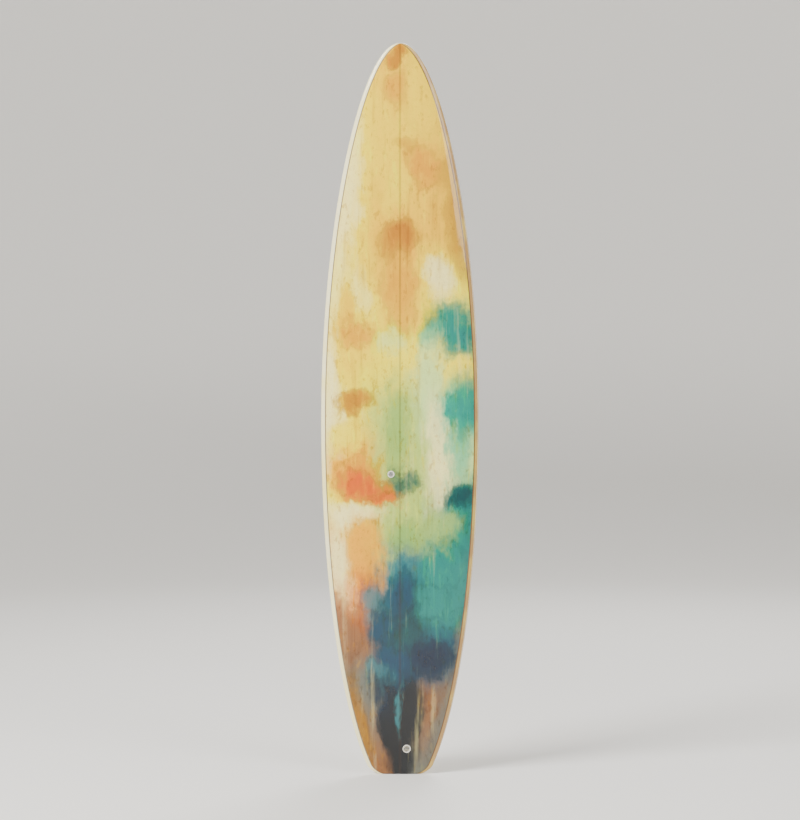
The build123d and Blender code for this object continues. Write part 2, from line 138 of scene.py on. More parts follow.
def bottom_y(z):
    """Bottom centre line before its ends round off, with the rocker of the nose and the tail."""
    t = z / CURVE
    flat = TAIL_ROCKER + TAIL_THICKNESS / 2
    if t > FLAT_POINT:
        return flat - NOSE_ROCKER * ((t - FLAT_POINT) / (1 - FLAT_POINT)) ** NOSE_ROCKER_POWER
    return flat - TAIL_ROCKER * ((FLAT_POINT - t) / FLAT_POINT) ** TAIL_ROCKER_POWER


def rail_y(z):
    """Height of the rail line, where the board is widest in cross-section."""
    return bottom_y(z) - tail_roll(z) - RAIL_SHARE * foil(z)


def skin_point(angle, z0, inset=0.0):
    """Point on the skin: angle 0 is the middle of the deck and a quarter turn is the right rail."""
    z = inset + z0 * (LENGTH - 2 * inset) / LENGTH
    w = half_width(z0)
    w -= inset * w / (w + NARROW)
    deep = foil(z0, inset) * nose_share(z0)
    across = sin(angle)
    if cos(angle) >= 0:
        rise = -(1 - RAIL_SHARE) * deep * sqrt(max(0.0, 1 - abs(across) ** DECK_CROWN))
    else:
        rise = RAIL_SHARE * deep * sqrt(max(0.0, 1 - abs(across) ** BOTTOM_CROWN))
    rail = bottom_y(z) - inset - tail_roll(z0, inset) - RAIL_SHARE * foil(z0, inset)
    return Vector((w * across, rail + rise, z))


def skin_normal(x, y, z):
    """Outward normal of the outer skin at a point on it."""
    step_a, step_z = 0.002, 0.00002
    z = min(max(z, 2 * step_z), LENGTH - 5 * step_z)
    share = max(-1.0, min(1.0, x / half_width(z)))
    angle = asin(share)
    if y > rail_y(z):
        angle = pi - angle
    across = skin_point(angle + step_a, z) - skin_point(angle - step_a, z)
    along = skin_point(angle, z + step_z) - skin_point(angle, z - step_z)
    return across.cross(along).normalized()


def stations(count, ends):
    """Heights from tail to nose, closer together at the rounded ends."""
    corner_power = 1.3
    tail = [TAIL_EDGE * (1 - cos(k * pi / 2 / ends)) for k in range(ends)]
    corner = [TAIL_EDGE + (TAIL_CORNER - TAIL_EDGE) * (k / ends) ** corner_power for k in range(ends)]
    body = []
    for k in range(count + 1):
        even = k / count
        eased = 0.5 - 0.5 * cos(pi * even)
        share = EASED_SHARE * eased + (1 - EASED_SHARE) * even
        body.append(TAIL_CORNER + (LENGTH - NOSE_ZONE - TAIL_CORNER) * share)
    nose = [LENGTH - NOSE_ZONE * (1 - sin(k * pi / 2 / ends)) for k in range(1, ends + 1)]
    return tail + corner + body + nose


def shell(bm, count, ends, quarter, inset, inward):
    """Adds a closed surface of quads round the board to bm, facing inward or outward."""
    size = 4 * quarter
    rings = []
    for z in stations(count, ends):
        ring = [skin_point(-pi + 2 * pi * k / size, z, inset) for k in range(size)]
        rings.append([bm.verts.new(p) for p in ring])

    def face(verts):
        bm.faces.new(list(reversed(verts)) if inward else verts)

    for low, high in zip(rings, rings[1:]):
        for k in range(size):
            n = (k + 1) % size
            face([low[k], low[n], high[n], high[k]])
    # the flat ends: strips between the deck's points and the bottom's
    for ring, turned in ((rings[0], True), (rings[-1], False)):
        for k in range(-quarter, quarter):
            deck = [ring[2 * quarter + k], ring[2 * quarter + k + 1]]
            mirror = [ring[-k % size], ring[(-k - 1) % size]]
            verts = []
            for v in (deck[0], deck[1], mirror[1], mirror[0]):
                if v not in verts:
                    verts.append(v)
            if len(verts) > 2:
                face(list(reversed(verts)) if turned else verts)


# ---------------------------------------------------------------- pockets for the fittings
POCKET_GAP = 0.00015  # hairline between a fitting and the skin
POCKET_DEPTH, POCKET_PROUD = 0.0075, 0.006  # how far a cutter reaches below and above a fitting's top
CORNER_STEPS = 12
CENTER_BOX_CORNER, SIDE_BOX_CORNER = 0.007, 0.0079  # radii of the corners of the fin boxes
CUP_RADIUS, VENT_RADIUS = 0.015, 0.013


def joint(name):
    """A joint of the frame, by name."""
    return next(j for j in frame["joints"] if j["name"] == name)


def seat(x_dir, z_dir):
    """Rotation whose columns are a fitting's long axis, its side axis and its axis out of the board."""
    z = Vector(z_dir).normalized()
    x = Vector(x_dir)
    x = (x - z * x.dot(z)).normalized()
    return Matrix((x, z.cross(x), z)).transposed()


def extents(node, turn):
    """Lowest and highest corners of a CAD node along the columns of turn."""
    co = np.array([v.co for v in frame["nodes"][node].data.vertices])
    local = co @ np.array(turn)
    return local.min(0), local.max(0)


def cutter(node, turn, corner):
    """Rounded block over a fitting, to open the skin for it with a hairline gap."""
    low, high = extents(node, turn)
    half = [(high[i] - low[i]) / 2 + POCKET_GAP for i in (0, 1)]
    middle = [(high[i] + low[i]) / 2 for i in (0, 1)]
    radius = min(corner + POCKET_GAP, *half)
    bm = bmesh.new()
    ring = []
    for quadrant, (sx, sy) in enumerate(((1, 1), (-1, 1), (-1, -1), (1, -1))):
        for k in range(CORNER_STEPS + 1):
            a = (quadrant + k / CORNER_STEPS) * pi / 2
            x = middle[0] + sx * (half[0] - radius) + radius * cos(a)
            y = middle[1] + sy * (half[1] - radius) + radius * sin(a)
            ring.append((x, y))
    same_point = 1e-6
    kept = [p for i, p in enumerate(ring) if (Vector(p) - Vector(ring[i - 1])).length > same_point]
    floor, top = high[2] - POCKET_DEPTH, high[2] + POCKET_PROUD
    lower = [bm.verts.new(turn @ Vector((x, y, floor))) for x, y in kept]
    upper = [bm.verts.new(turn @ Vector((x, y, top))) for x, y in kept]
    for i in range(len(kept)):
        n = (i + 1) % len(kept)
        bm.faces.new((lower[i], lower[n], upper[n], upper[i]))
    bm.faces.new(list(reversed(lower)))
    bm.faces.new(upper)
    mesh = bpy.data.meshes.new("cutter")
    bm.to_mesh(mesh)
    bm.free()
    return mesh


def side_seat(side):
    """Directions of a side fin's box, from its joints."""
    return seat(joint(f"side_screw_{side}_turn")["axis"], joint(f"side_fin_{side}_out")["axis"])


def mount_axis(name):
    """A mount's axis, by the mount's name."""
    return next(m for m in frame["record"]["mounts"] if m["name"] == name)["axis"]


UP = Vector((0, 0, 1))
CENTER_TURN = seat(joint("center_fin_slide")["axis"], joint("fin_screw_turn")["axis"])
CUP_TURN = seat(UP, mount_axis("leash_tie"))
VENT_TURN = seat(UP, joint("vent_screw_turn")["axis"])


def build_skin():
    """The board's skin: 2 mm thick, clean quads, with an opening for each fitting."""
    bm = bmesh.new()
    shell(bm, OUTER_RINGS, OUTER_END_RINGS, OUTER_QUARTER, inset=0.0, inward=False)
    shell(bm, INNER_RINGS, INNER_END_RINGS, INNER_QUARTER, inset=SKIN, inward=True)
    mesh = bpy.data.meshes.new("board_skin")
    bm.to_mesh(mesh)
    bm.free()
    skin = bpy.data.objects.new("board_skin", mesh)
    bpy.context.scene.collection.objects.link(skin)
    pockets = (
        ("center_fin_box", CENTER_TURN, CENTER_BOX_CORNER),
        ("side_box_left", side_seat("left"), SIDE_BOX_CORNER),
        ("side_box_right", side_seat("right"), SIDE_BOX_CORNER),
        ("leash_cup", CUP_TURN, CUP_RADIUS),
        ("vent_housing", VENT_TURN, VENT_RADIUS),
    )
    for node, turn, corner in pockets:
        block = cutter(node, turn, corner)
        tool = bpy.data.objects.new("cutter", block)
        bpy.context.scene.collection.objects.link(tool)
        cut = skin.modifiers.new("cut", "BOOLEAN")
        cut.operation = "DIFFERENCE"
        cut.solver = "EXACT"
        cut.object = tool
        bpy.context.view_layer.objects.active = skin
        bpy.ops.object.modifier_apply(modifier=cut.name)
        bpy.data.objects.remove(tool)
        bpy.data.meshes.remove(block)
    return skin


# ---------------------------------------------------------------- node helpers
def add(tree, kind, settings=None, **inputs):
    """New shader node; each input is a value or another node's output socket."""
    made = tree.nodes.new(kind)
    for key, value in (settings or {}).items():
        setattr(made, key, value)
    for key, value in inputs.items():
        plug(tree, made.inputs[key.replace("_", " ")], value)
    return made


def plug(tree, socket, value):
    """Links a socket to an output, or sets its value."""
    if isinstance(value, bpy.types.NodeSocket):
        tree.links.new(value, socket)
    else:
        socket.default_value = value


def calc(tree, operation, a, b=0.0, c=0.0):
    """Math node's output."""
    made = add(tree, "ShaderNodeMath", {"operation": operation})
    for socket, value in zip(made.inputs, (a, b, c)):
        plug(tree, socket, value)
    return made.outputs[0]


def spread(tree, value, low, high, to_low=0.0, to_high=1.0):
    """Smooth step from one range to another."""
    made = add(tree, "ShaderNodeMapRange", {"interpolation_type": "SMOOTHSTEP"})
    values = {"Value": value, "From Min": low, "From Max": high, "To Min": to_low, "To Max": to_high}
    for key, number in values.items():
        plug(tree, made.inputs[key], number)
    return made.outputs[0]


def mix(tree, amount, a, b, blend="MIX"):
    """Colour mix's output."""
    factor, colour_a, colour_b, result = 0, 6, 7, 2  # a mix node's sockets for colours
    made = add(tree, "ShaderNodeMix", {"data_type": "RGBA", "blend_type": blend})
    for socket, value in ((factor, amount), (colour_a, a), (colour_b, b)):
        plug(tree, made.inputs[socket], value)
    return made.outputs[result]


def noise(tree, vector, scale, detail=3.0, rough=0.55, distortion=0.0):
    """Noise value around 0.5, with so many octaves of detail, so rough and so twisted."""
    made = add(tree, "ShaderNodeTexNoise", {"noise_dimensions": "3D"}, Vector=vector, Scale=scale)
    made.inputs["Detail"].default_value = detail
    made.inputs["Roughness"].default_value = rough
    made.inputs["Distortion"].default_value = distortion
    return made.outputs[0]


def stretched(tree, vector, scale, offset=(0, 0, 0)):
    """Vector scaled and moved."""
    made = add(tree, "ShaderNodeMapping", Vector=vector)
    made.inputs["Scale"].default_value = scale
    made.inputs["Location"].default_value = offset
    return made.outputs[0]


def plan_group():
    """Node group: where a point lies in the board's plan. It works half_width out in nodes.

    across runs from -1 at the left rail to 1 at the right, along from 0 at the tail to 1 at the nose;
    edge and off_centre are the distances to the rail and to the middle, in metres.
    """
    group = bpy.data.node_groups.new("plan", "ShaderNodeTree")
    group.interface.new_socket("Spot", in_out="INPUT", socket_type="NodeSocketVector")
    for name in ("across", "along", "edge", "off_centre"):
        group.interface.new_socket(name, in_out="OUTPUT", socket_type="NodeSocketFloat")
    given = group.nodes.new("NodeGroupInput").outputs
    out = group.nodes.new("NodeGroupOutput")

    def do(operation, a, b=0.0, c=0.0):
        return calc(group, operation, a, b, c)

    x, _, z = add(group, "ShaderNodeSeparateXYZ", Vector=given["Spot"]).outputs
    t = do("DIVIDE", z, CURVE)
    fore = do("MAXIMUM", do("DIVIDE", do("SUBTRACT", t, WIDE_POINT), 1 - WIDE_POINT), 0.0)
    aft = do("MAXIMUM", do("DIVIDE", do("SUBTRACT", WIDE_POINT, t), WIDE_POINT), 0.0)
    fore, aft = do("MULTIPLY", fore, fore), do("MULTIPLY", aft, aft)
    nose = do("MULTIPLY", do("SUBTRACT", 1.0, fore), do("MULTIPLY_ADD", fore, -NOSE_FULLNESS, 1.0))
    tail = do("MULTIPLY_ADD", aft, -TAIL_TAPER, 1.0)
    width = do("SQRT", do("MULTIPLY", do("MAXIMUM", nose, 0.0), tail))
    corner = do("MAXIMUM", do("MULTIPLY_ADD", z, -1 / TAIL_CORNER, 1.0), 0.0)
    arc = do("MAXIMUM", do("SUBTRACT", 1.0, do("MULTIPLY", corner, corner)), 0.0)
    corner = do("SUBTRACT", 1.0, do("SQRT", arc))
    width = do("SUBTRACT", do("MULTIPLY", width, HALF_WIDTH), do("MULTIPLY", corner, TAIL_CORNER))
    off = do("ABSOLUTE", x)
    plug(group, out.inputs["across"], do("DIVIDE", x, do("MAXIMUM", width, 0.0001)))
    plug(group, out.inputs["along"], do("DIVIDE", z, LENGTH))
    plug(group, out.inputs["edge"], do("SUBTRACT", width, off))
    plug(group, out.inputs["off_centre"], off)
    return group


def plan_of(tree, spot):
    """The plan group's outputs for a point."""
    group = bpy.data.node_groups.get("plan") or plan_group()
    made = tree.nodes.new("ShaderNodeGroup")
    made.node_tree = group
    plug(tree, made.inputs["Spot"], spot)
    return made.outputs


def colour(code):
    """Linear colour from a six-digit code."""
    def linear(x):
        return x / 12.92 if x <= 0.04045 else ((x + 0.055) / 1.055) ** 2.4
    return tuple(linear(int(code[i : i + 2], 16) / 255) for i in (0, 2, 4)) + (1.0,)


def material(name):
    """New material, its node tree, its shader and the point being shaded, in the shared frame."""
    made = bpy.data.materials.new(name)
    made.use_nodes = True
    tree = made.node_tree
    spot = add(tree, "ShaderNodeTexCoord").outputs["Object"]
    return made, tree, tree.nodes["Principled BSDF"], spot


def surface(tree, shader, shade, rough):
    """Sets a shader's colour and roughness, each a value or an output."""
    plug(tree, shader.inputs["Base Color"], shade)
    plug(tree, shader.inputs["Roughness"], rough)


def bump(tree, shader, height, distance, strength, socket="Normal"):
    """Bump from a height value, which is distance metres deep, at the given strength."""
    made = add(tree, "ShaderNodeBump", Height=height, Distance=distance, Strength=strength)
    plug(tree, shader.inputs[socket], made.outputs[0])


# ---------------------------------------------------------------- lines and layers that show
THREAD_PITCH, FIN_THREAD_PITCH = 0.0013, 0.0016
FIN_LAYER = 0.0006  # thickness of one cloth layer in a fin
STRINGER_HALF = 0.0028
GLUE_PLACE, GLUE_HALF = 0.0032, 0.0003  # from the middle of the board
CLOTH_EDGE, CLOTH_EDGE_FADED = 0.0200, 0.0165  # from the rail, where the print gives way to cream
FRAY = 0.004
PINLINE_PLACE, PINLINE_HALF = 0.0172, 0.0018
LAP, LAP_FADED = 0.0520, 0.0505  # from the rail to where the deck's cloth ends on the bottom
LAP_WAVE = 0.006

# ---------------------------------------------------------------- the deck's watercolour
CREAM, PALE, STRAW = colour("fff6c4"), colour("fff08c"), colour("ffe65c")
YELLOW, GOLD, AMBER, OCHRE = colour("fddc14"), colour("f8cb0a"), colour("e6a70e"), colour("c28412")
PEACH, CORAL, ROSE = colour("f6c47f"), colour("dc5f2e"), colour("e68a62")
SAGE, MOSS, MINT = colour("c3d28c"), colour("86b17a"), colour("d8ebb2")
AQUA, TEAL, DEEP_TEAL = colour("52bda6"), colour("108f86"), colour("05585c")
SLATE, STEEL, NAVY = colour("154f68"), colour("55868a"), colour("062c48")
TAUPE, STONE, CHARCOAL = colour("9c7a60"), colour("7b7c73"), colour("1c2127")
BROWN, TAN = colour("573618"), colour("b28a50")

# the ground the washes are laid on: colours up the board from the tail, by the left rail, the
# middle and the right rail
GROUND_LEFT = (
    (0.00, TAUPE),
    (0.12, STONE),
    (0.18, TAUPE),
    (0.25, ROSE),
    (0.32, PEACH),
    (0.37, PALE),
    (0.43, PEACH),
    (0.50, PALE),
    (0.58, YELLOW),
    (0.66, PALE),
    (0.74, YELLOW),
    (0.90, YELLOW),
    (1.00, GOLD),
)
GROUND_MIDDLE = (
    (0.00, CHARCOAL),
    (0.10, CHARCOAL),
    (0.16, SLATE),
    (0.22, DEEP_TEAL),
    (0.28, STEEL),
    (0.33, SAGE),
    (0.50, SAGE),
    (0.58, PALE),
    (0.64, YELLOW),
    (0.74, GOLD),
    (0.84, YELLOW),
    (0.93, YELLOW),
    (1.00, GOLD),
)
GROUND_RIGHT = (
    (0.00, STONE),
    (0.10, TAUPE),
    (0.16, SLATE),
    (0.23, TEAL),
    (0.32, TEAL),
    (0.38, TEAL),
    (0.43, MINT),
    (0.50, AQUA),
    (0.56, PALE),
    (0.61, TEAL),
    (0.66, PALE),
    (0.76, GOLD),
    (1.00, YELLOW),
)

# each wash: place across (-1 left rail, 1 right rail), place up the board, size across, size up,
# colour, strength
WASHES = (
    # nose
    (-0.92, 0.790, 0.36, 0.130, CREAM, 0.85),
    (0.55, 0.920, 0.50, 0.050, YELLOW, 0.85),
    (-0.15, 0.940, 0.32, 0.024, AMBER, 0.75),
    (-0.10, 0.985, 0.60, 0.012, OCHRE, 0.85),
    (0.40, 0.835, 0.30, 0.026, AMBER, 0.90),
    (0.08, 0.860, 0.22, 0.012, OCHRE, 0.45),
    (-0.05, 0.795, 0.26, 0.022, STRAW, 0.60),
    (0.88, 0.770, 0.22, 0.080, TAN, 0.60),
    (0.02, 0.735, 0.32, 0.024, OCHRE, 0.90),
    (-0.02, 0.665, 0.20, 0.050, AMBER, 0.75),
    # upper middle
    (-0.40, 0.745, 0.16, 0.060, GOLD, 0.55),
    (-0.45, 0.670, 0.18, 0.050, CREAM, 0.50),
    (-0.72, 0.640, 0.14, 0.030, AMBER, 0.45),
    (0.46, 0.682, 0.22, 0.038, CREAM, 0.90),
    (0.66, 0.612, 0.30, 0.032, TEAL, 0.80),
    (0.32, 0.600, 0.16, 0.020, AQUA, 0.75),
    (-0.60, 0.608, 0.24, 0.016, AMBER, 0.80),
    (-0.15, 0.600, 0.20, 0.018, MINT, 0.60),
    # middle
    (-0.98, 0.530, 0.26, 0.110, CREAM, 0.95),
    (-0.58, 0.508, 0.24, 0.014, OCHRE, 0.85),
    (-0.25, 0.540, 0.20, 0.030, PALE, 0.70),
    (0.36, 0.530, 0.20, 0.070, MINT, 0.90),
    (0.48, 0.460, 0.18, 0.060, CREAM, 0.75),
    (0.84, 0.505, 0.16, 0.042, TEAL, 0.75),
    (0.74, 0.440, 0.14, 0.026, AQUA, 0.55),
    (-0.04, 0.470, 0.12, 0.060, MOSS, 0.40),
    (-0.70, 0.460, 0.24, 0.018, PALE, 0.80),
    # lower middle
    (-0.50, 0.425, 0.26, 0.013, AMBER, 0.75),
    (-0.48, 0.396, 0.32, 0.022, CORAL, 0.85),
    (-0.20, 0.376, 0.22, 0.012, ROSE, 0.85),
    (0.02, 0.396, 0.16, 0.018, DEEP_TEAL, 0.80),
    (0.46, 0.400, 0.20, 0.040, CREAM, 0.70),
    (0.78, 0.384, 0.20, 0.016, DEEP_TEAL, 0.95),
    (-0.62, 0.355, 0.34, 0.016, CREAM, 0.95),
    (-0.82, 0.290, 0.24, 0.060, CREAM, 0.90),
    (-0.45, 0.305, 0.24, 0.040, PEACH, 0.85),
    (0.10, 0.325, 0.20, 0.022, MOSS, 0.55),
    (0.60, 0.290, 0.26, 0.034, TEAL, 0.75),
    (0.56, 0.340, 0.24, 0.024, SAGE, 0.70),
    (0.02, 0.245, 0.26, 0.028, SLATE, 0.90),
    (0.52, 0.235, 0.26, 0.026, TEAL, 0.95),
    # towards the tail
    (-0.40, 0.235, 0.20, 0.024, STEEL, 0.80),
    (-0.84, 0.200, 0.26, 0.040, TAUPE, 0.80),
    (-0.20, 0.200, 0.24, 0.022, SLATE, 0.85),
    (0.10, 0.185, 0.24, 0.020, DEEP_TEAL, 0.90),
    (0.48, 0.158, 0.30, 0.020, NAVY, 1.00),
    (0.95, 0.170, 0.16, 0.050, STONE, 0.80),
    (-0.35, 0.140, 0.18, 0.016, STEEL, 0.70),
    (-0.34, 0.085, 0.14, 0.042, NAVY, 0.80),
    (-0.30, 0.060, 0.16, 0.034, CHARCOAL, 0.95),
    (0.24, 0.085, 0.18, 0.040, CHARCOAL, 0.95),
    (-0.05, 0.090, 0.07, 0.036, STEEL, 0.90),
    (-0.90, 0.080, 0.22, 0.060, TAN, 0.75),
    (0.92, 0.085, 0.24, 0.060, STONE, 0.80),
)


def wash_group():
    """Node group: soft-edged blot with a darker rim where the pigment gathered."""
    group = bpy.data.node_groups.new("wash", "ShaderNodeTree")
    for name in ("U", "T", "Place_U", "Place_T", "Size_U", "Size_T"):
        group.interface.new_socket(name, in_out="INPUT", socket_type="NodeSocketFloat")
    for name in ("Mask", "Rim"):
        group.interface.new_socket(name, in_out="OUTPUT", socket_type="NodeSocketFloat")
    given = group.nodes.new("NodeGroupInput").outputs
    out = group.nodes.new("NodeGroupOutput")
    squares = []
    for way in ("U", "T"):
        off = calc(group, "SUBTRACT", given[way], given[f"Place_{way}"])
        off = calc(group, "DIVIDE", off, given[f"Size_{way}"])
        squares.append(calc(group, "MULTIPLY", off, off))
    far = calc(group, "SQRT", calc(group, "ADD", *squares))
    plug(group, out.inputs["Mask"], spread(group, far, 1.55, 0.35))
    rim = calc(group, "MULTIPLY", spread(group, far, 1.18, 1.0), spread(group, far, 0.72, 0.98))
    plug(group, out.inputs["Rim"], rim)
    return group


def ramp(tree, value, stops):
    """Colour ramp with smooth steps."""
    made = add(tree, "ShaderNodeValToRGB", Fac=value)
    made.color_ramp.interpolation = "EASE"
    points = made.color_ramp.elements
    while len(points) < len(stops):
        points.new(0.5)
    for point, (place, shade) in zip(points, stops):
        point.position = place
        point.color = shade
    return made.outputs[0]


def weave(tree, spot, pitch):
    """Plain weave's height: threads along and across the board."""
    band_gap = 0.314  # between a wave texture's bands at scale 1: 2 pi / 20
    parts = []
    for axis in ("X", "Z"):
        settings = {"wave_type": "BANDS", "bands_direction": axis}
        made = add(tree, "ShaderNodeTexWave", settings, Vector=spot, Scale=band_gap / pitch)
        parts.append(made.outputs["Fac"])
    return calc(tree, "MULTIPLY", parts[0], parts[1])


def wandering(tree, value, big, big_size, small, small_size):
    """value moved about by two noises, as the edge of wet paint runs."""
    shift = calc(tree, "MULTIPLY_ADD", big, big_size, -big_size / 2)
    ripple = calc(tree, "MULTIPLY_ADD", small, small_size, -small_size / 2)
    return calc(tree, "ADD", value, calc(tree, "ADD", shift, ripple))


def lay_ground(tree, u, t):
    """The three grounds, side by side and blended."""
    left, middle, right = (ramp(tree, t, stops) for stops in (GROUND_LEFT, GROUND_MIDDLE, GROUND_RIGHT))
    shade = mix(tree, spread(tree, u, -0.62, -0.14), left, middle)
    return mix(tree, spread(tree, u, 0.18, 0.62), shade, right)


def lay_washes(tree, u, t, shade):
    """The washes over the ground, with darker rims round the dark ones."""
    group = bpy.data.node_groups.get("wash") or wash_group()
    rims = 0.0
    for place_u, place_t, size_u, size_t, paint, strength in WASHES:
        blot = tree.nodes.new("ShaderNodeGroup")
        blot.node_tree = group
        places = {"Place_U": place_u, "Place_T": place_t, "Size_U": size_u, "Size_T": size_t}
        for key, value in {"U": u, "T": t, **places}.items():
            plug(tree, blot.inputs[key], value)
        shade = mix(tree, calc(tree, "MULTIPLY", blot.outputs["Mask"], strength), shade, paint)
        rim = calc(tree, "MULTIPLY", blot.outputs["Rim"], strength * (1 - paint[1]))
        rims = calc(tree, "MAXIMUM", rims, rim)
    return mix(tree, calc(tree, "MULTIPLY", rims, 0.22), shade, BROWN, "MULTIPLY")


def brush(tree, spot, shade):
    """Streaks, drips, flecks and bristle marks, mostly drawn out along the board."""
    streak = noise(tree, stretched(tree, spot, (26, 1, 2.2)), 1.0, 4.0, 0.6)
    shade = mix(tree, spread(tree, streak, 0.54, 0.74, 0.0, 0.26), shade, CREAM)
    shade = mix(tree, spread(tree, streak, 0.46, 0.28, 0.0, 0.30), shade, TAN, "MULTIPLY")
    drip = noise(tree, stretched(tree, spot, (75, 1, 3.5), (0.4, 0, 1.9)), 1.0, 3.0, 0.6)
    shade = mix(tree, spread(tree, drip, 0.60, 0.72, 0.0, 0.22), shade, TAN, "MULTIPLY")
    fleck = noise(tree, stretched(tree, spot, (1, 1, 0.5), (2.2, 0, 6.1)), 62.0, 3.0, 0.6)
    shade = mix(tree, spread(tree, fleck, 0.56, 0.70, 0.0, 0.34), shade, TAN, "MULTIPLY")
    bristles = noise(tree, stretched(tree, spot, (1, 1, 0.22), (3.2, 0, 0.7)), 36.0, 5.0, 0.7, 0.5)
    shade = mix(tree, spread(tree, bristles, 0.55, 0.72, 0.0, 0.42), shade, AMBER, "SOFT_LIGHT")
    return mix(tree, spread(tree, bristles, 0.46, 0.30, 0.0, 0.55), shade, CREAM, "SOFT_LIGHT")


def settle(tree, spot, shade):
    """Pigment settled in the cloth, then the whole print deepened as resin wets it out."""
    grain = noise(tree, spot, 420.0, 2.0, 0.7)
    cloud = noise(tree, spot, 60.0, 5.0, 0.7)
    settled = calc(tree, "MULTIPLY", spread(tree, grain, 0.45, 0.75), spread(tree, cloud, 0.40, 0.65))
    shade = mix(tree, calc(tree, "MULTIPLY", settled, 0.35), shade, TAUPE, "MULTIPLY")
    deep = add(tree, "ShaderNodeGamma", Color=shade, Gamma=1.30)
    return add(tree, "ShaderNodeHueSaturation", Color=deep.outputs[0], Saturation=1.20).outputs[0]


def deck_colour(tree, spot):
    """Colour of the printed deck at a point."""
    plan = plan_of(tree, spot)
    soft_u = noise(tree, stretched(tree, spot, (1, 1, 0.5)), 8.0, 4.0, 0.6, 0.4)
    soft_t = noise(tree, stretched(tree, spot, (1, 1, 0.7), (4.1, 0, 2.7)), 9.0, 4.0, 0.6, 0.4)
    fine_u = noise(tree, stretched(tree, spot, (1, 1, 0.4), (1.3, 0, 8.2)), 44.0, 4.0, 0.65)
    fine_t = noise(tree, stretched(tree, spot, (1, 1, 0.8), (7.9, 0, 5.1)), 40.0, 4.0, 0.65)
    u = wandering(tree, plan["across"], soft_u, 0.60, fine_u, 0.22)
    t = wandering(tree, plan["along"], soft_t, 0.070, fine_t, 0.022)
    shade = lay_washes(tree, u, t, lay_ground(tree, u, t))
    return settle(tree, spot, brush(tree, spot, shade))


def near(tree, value, centre, half, soft, strength):
    """strength where value is within half of centre, fading to 0 over soft."""
    off = calc(tree, "ABSOLUTE", calc(tree, "SUBTRACT", value, centre))
    return spread(tree, off, half + soft, half, 0.0, strength)


def polish(tree, shader, spot):
    """Gloss coat: clear, hard and slightly wavy, with fine rubbing marks."""
    resin_index = 1.52
    shader.inputs["IOR"].default_value = resin_index
    # the cloth is set in the resin, so only the resin's face reflects
    shader.inputs["Specular IOR Level"].default_value = 0.05
    shader.inputs["Coat Weight"].default_value = 1.0
    shader.inputs["Coat IOR"].default_value = resin_index
    haze = noise(tree, spot, 14.0, 4.0, 0.6)
    rubs = noise(tree, stretched(tree, spot, (60, 60, 900)), 1.0, 2.0, 0.6)
    dull = spread(tree, haze, 0.35, 0.75, 0.03, 0.10)
    coat = calc(tree, "ADD", dull, spread(tree, rubs, 0.55, 0.8, 0.0, 0.05))
    plug(tree, shader.inputs["Coat Roughness"], coat)
    plug(tree, shader.inputs["Roughness"], spread(tree, haze, 0.3, 0.7, 0.34, 0.46))
    bump(tree, shader, noise(tree, spot, 11.0, 2.0, 0.5), 0.0008, 0.6, "Coat Normal")


def deck_material():
    """Printed cloth under clear resin, with a cream rail that is painted darker tan towards the right as
    shade, a pinline and the stringer showing through.
    """
    made, tree, shader, spot = material("deck_print")
    shade = deck_colour(tree, spot)
    plan = plan_of(tree, spot)
    edge, middle, side = plan["edge"], plan["off_centre"], plan["across"]
    # the stringer under the cloth, with its two glue lines
    wood = near(tree, middle, 0.0, STRINGER_HALF, 0.0006, strength=0.30)
    shade = mix(tree, wood, shade, BROWN, "MULTIPLY")
    glue = near(tree, middle, GLUE_PLACE, GLUE_HALF, 0.0004, strength=0.45)
    shade = mix(tree, glue, shade, BROWN)
    # the cloth's edge frays into the rail's colour: cream on the left, turning to a painted shade of tan
    # towards the right rail
    loose = calc(tree, "MULTIPLY_ADD", noise(tree, spot, 90.0), FRAY, -FRAY / 2)
    # painted shade: the rail runs from cream at the left to tan at the right, as if lit from the left
    rail = mix(tree, spread(tree, side, -0.2, 0.6), CREAM, TAN)
    stain = spread(tree, noise(tree, spot, 9.0, 4.0), 0.4, 0.7, 0.0, 0.35)
    rail = mix(tree, stain, rail, STRAW)
    margin = spread(tree, calc(tree, "ADD", edge, loose), CLOTH_EDGE, CLOTH_EDGE_FADED)
    shade = mix(tree, margin, shade, rail)
    pinline = near(tree, edge, PINLINE_PLACE, PINLINE_HALF, 0.0005, strength=0.85)
    shade = mix(tree, pinline, shade, BROWN)
    threads = weave(tree, spot, THREAD_PITCH)
    shade = mix(tree, calc(tree, "MULTIPLY", threads, 0.10), shade, colour("d8cbb0"), "MULTIPLY")
    plug(tree, shader.inputs["Base Color"], shade)
    polish(tree, shader, spot)
    bump(tree, shader, threads, 0.00005, 0.35)
    return made


def cloth_material():
    """The printed cloth itself, inside the skin."""
    made, tree, shader, spot = material("inlay_cloth")
    threads = weave(tree, spot, THREAD_PITCH)
    shade = mix(tree, calc(tree, "MULTIPLY", threads, 0.3), deck_colour(tree, spot), TAN, "MULTIPLY")
    surface(tree, shader, shade, spread(tree, noise(tree, spot, 60.0), 0.3, 0.7, 0.6, 0.8))
    bump(tree, shader, threads, 0.0002, 0.6)
    return made


